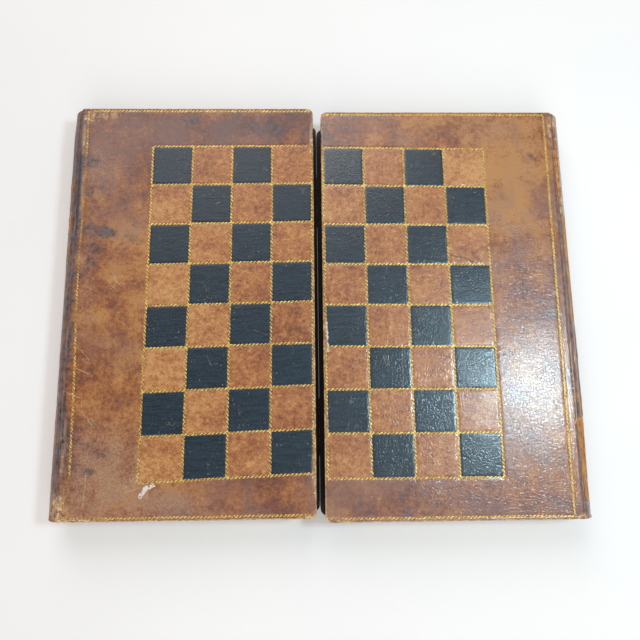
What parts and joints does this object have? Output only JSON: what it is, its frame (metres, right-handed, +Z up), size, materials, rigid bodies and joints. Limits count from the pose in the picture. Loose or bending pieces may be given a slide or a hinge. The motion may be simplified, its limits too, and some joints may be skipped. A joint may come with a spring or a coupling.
{
  "type": "book-shaped game box",
  "caption": "Folding games box made like two leather-bound volumes hinged at their fore edges, with a draughts board on the covers and two trays inside.",
  "frame": {"origin": "on the table, in the middle of the open box's outline", "axes": "+X from the left volume to the right one, +Y from tail to head, +Z up. The hinge line is parallel to Y, 1.75 mm left of the origin and 1.9 mm above the table"},
  "size_m": [0.4722, 0.3828, 0.0391],
  "materials": {
    "cover_leather": "worn polished calf, mottled brown, with painted squares and gold rope lines",
    "spine_leather": "worn polished calf, mottled dark brown",
    "cover_board": "plain sawn softwood",
    "tray_wall": "waxed dark walnut",
    "page_edges": "thin limewood, grooved like leaves and painted cream",
    "rim_rail": "rail with calf glued over it, rubbed at the edges",
    "play_panel": "plain thin panel",
    "play_lining": "dark green leather with gold-edged points",
    "brass": "old brass, darkened in the corners",
    "brass_screw": "old brass, slotted"
  },
  "bodies": {
    "left_volume": {"left_cover_board": "cover_board", "left_cover_leather": "cover_leather", "left_head_wall": "tray_wall", "left_tail_wall": "tray_wall", "left_fore_wall": "tray_wall", "left_spine_wall": "tray_wall", "left_page_edges": "page_edges", "left_head_rail": "rim_rail", "left_tail_rail": "rim_rail", "left_fore_rail": "rim_rail", "left_spine_rail": "rim_rail", "left_play_panel": "play_panel", "left_play_lining": "play_lining", "left_spine_core": "cover_board", "left_spine_leather": "spine_leather", "left_register_peg": "brass", "head_hinge_left_leaf": "brass", "head_hinge_left_screw_1": "brass_screw", "head_hinge_left_screw_2": "brass_screw", "head_hinge_left_screw_3": "brass_screw", "tail_hinge_left_leaf": "brass", "tail_hinge_left_screw_1": "brass_screw", "tail_hinge_left_screw_2": "brass_screw", "tail_hinge_left_screw_3": "brass_screw", "head_hinge_pin": "brass", "tail_hinge_pin": "brass", "head_catch_screw": "brass_screw", "tail_catch_stud": "brass"},
    "right_volume": {"right_cover_board": "cover_board", "right_cover_leather": "cover_leather", "right_head_wall": "tray_wall", "right_tail_wall": "tray_wall", "right_fore_wall": "tray_wall", "right_spine_wall": "tray_wall", "right_page_edges": "page_edges", "right_head_rail": "rim_rail", "right_tail_rail": "rim_rail", "right_fore_rail": "rim_rail", "right_spine_rail": "rim_rail", "right_play_panel": "play_panel", "right_play_lining": "play_lining", "right_spine_core": "cover_board", "right_spine_leather": "spine_leather", "right_register_peg": "brass", "head_hinge_right_leaf": "brass", "head_hinge_right_screw_1": "brass_screw", "head_hinge_right_screw_2": "brass_screw", "head_hinge_right_screw_3": "brass_screw", "tail_hinge_right_leaf": "brass", "tail_hinge_right_screw_1": "brass_screw", "tail_hinge_right_screw_2": "brass_screw", "tail_hinge_right_screw_3": "brass_screw", "tail_catch_screw": "brass_screw", "head_catch_stud": "brass"},
    "head_hook": {"head_catch_hook": "brass"},
    "tail_hook": {"tail_catch_hook": "brass"}
  },
  "joints": [
    {"name": "volume_fold", "type": "hinge", "parent": "left_volume", "child": "right_volume", "pos_m": [-0.00175, 0, 0.0019], "axis": [0, 1, 0], "range_deg": [0, 180]},
    {"name": "head_hook_swing", "type": "hinge", "parent": "left_volume", "child": "head_hook", "pos_m": [-0.17205, 0.1895, 0.00505], "axis": [0, -1, 0], "range_deg": [-100, 14.2]},
    {"name": "tail_hook_swing", "type": "hinge", "parent": "right_volume", "child": "tail_hook", "pos_m": [0.16855, -0.1895, 0.00505], "axis": [0, 1, 0], "range_deg": [-100, 14.2]}
  ]
}
